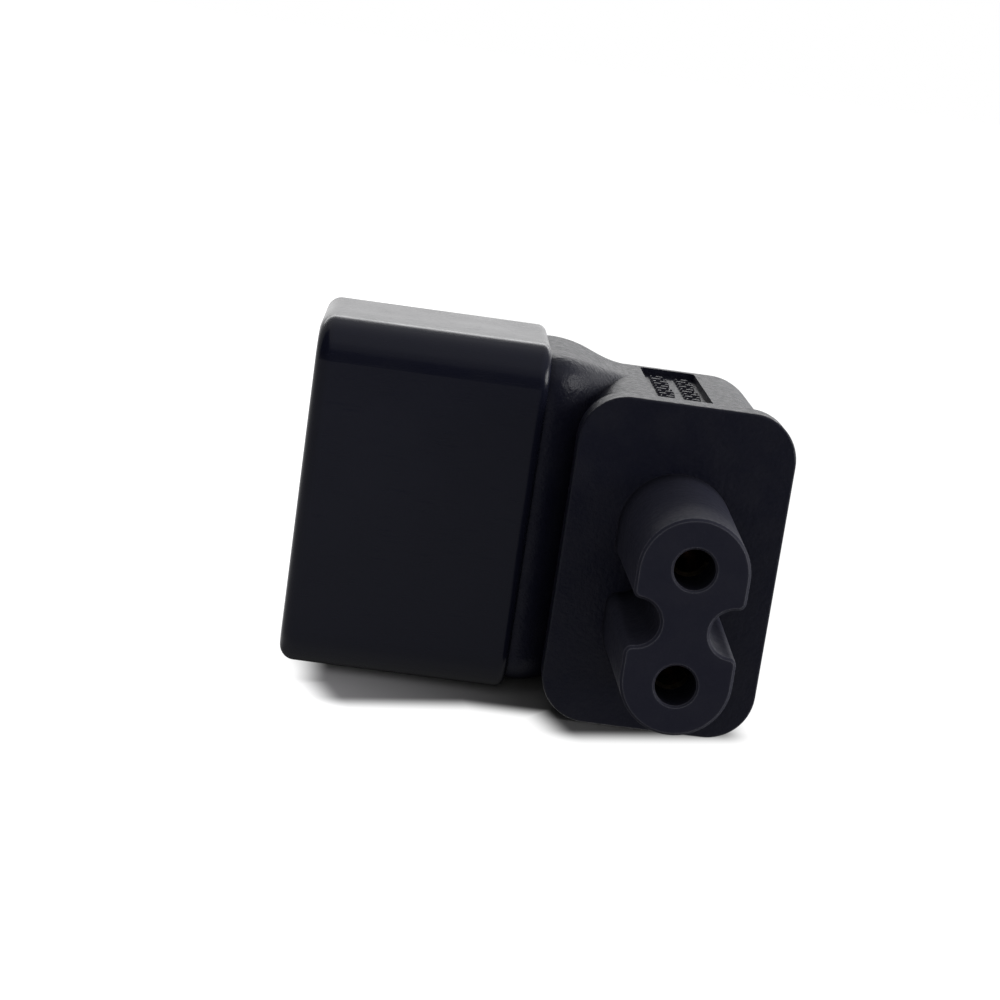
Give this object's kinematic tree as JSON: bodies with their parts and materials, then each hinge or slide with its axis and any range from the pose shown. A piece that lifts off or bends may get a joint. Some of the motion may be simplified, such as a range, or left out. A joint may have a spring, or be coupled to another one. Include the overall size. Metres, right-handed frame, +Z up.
{
  "type": "figure eight power adapter",
  "caption": "Right-angle mains adapter: a moulded black block with a figure-eight socket nose on its face and a hollow chamfered inlet with flat pins on its side.",
  "frame": {"origin": "on the surface it stands on, under the middle of its bounding box", "axes": "+Z up, the nose points along -Y, the inlet's mouth faces -X"},
  "size_m": [0.0374, 0.0378, 0.0281],
  "materials": {
    "body_mould": "matte, fine spark-eroded grain",
    "shroud_plastic": "satin gloss, smooth",
    "nose_plastic": "matte dark grey",
    "plated_pin": "nickel plated, satin",
    "contact_metal": "dull brass strip",
    "copper_wire": "bare copper strands",
    "line_jacket": "brown wire insulation",
    "neutral_jacket": "blue wire insulation"
  },
  "bodies": {
    "root": {"overmould": "body_mould", "inlet_shroud": "shroud_plastic", "socket_nose": "nose_plastic", "line_pin": "plated_pin", "neutral_pin": "plated_pin", "earth_pin": "plated_pin", "line_contact": "contact_metal", "neutral_contact": "contact_metal", "line_conductor": "copper_wire", "neutral_conductor": "copper_wire", "line_insulation": "line_jacket", "neutral_insulation": "neutral_jacket"}
  },
  "joints": []
}
